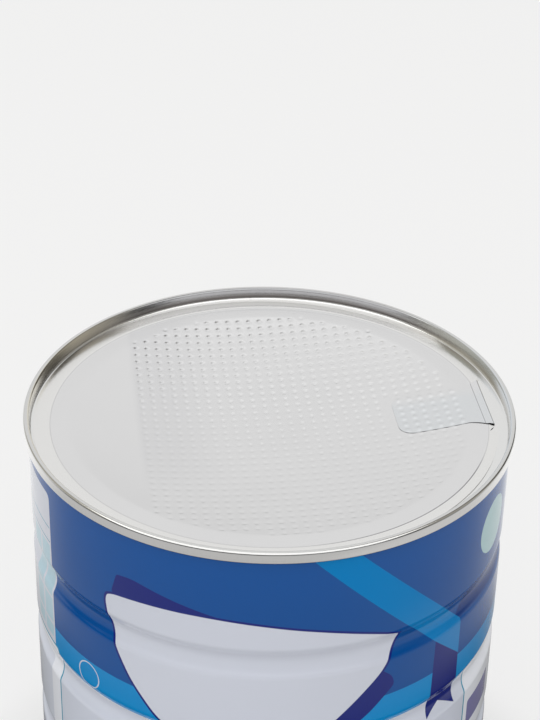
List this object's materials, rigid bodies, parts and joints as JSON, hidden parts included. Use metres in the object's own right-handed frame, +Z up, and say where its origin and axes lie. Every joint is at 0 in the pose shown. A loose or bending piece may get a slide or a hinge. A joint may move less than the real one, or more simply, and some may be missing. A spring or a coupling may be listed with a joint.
{
  "type": "beaded milk powder tin with peel-off foil lid",
  "caption": "Upright round tinplate can with rolled-in stiffening beads, seamed ends, a printed wall and a sagging dimpled foil seal with a folded-back pull tab.",
  "frame": {"origin": "centre of the foot of the bottom seam, on the surface the tin stands on", "axes": "+Z up along the tin's axis; the front of the print faces -Y; the pull tab points near +X"},
  "size_m": [0.1302, 0.1302, 0.154],
  "materials": {
    "printed_wall": "glossy lacquered print on tinplate",
    "seam_steel": "clear lacquered tinplate, satin",
    "end_steel": "clear lacquered tinplate, satin",
    "foil": "matt embossed foil"
  },
  "bodies": {
    "root": {"can_body": "printed_wall", "top_ring": "seam_steel", "bottom_end": "end_steel", "foil_lid": "foil"}
  },
  "joints": []
}
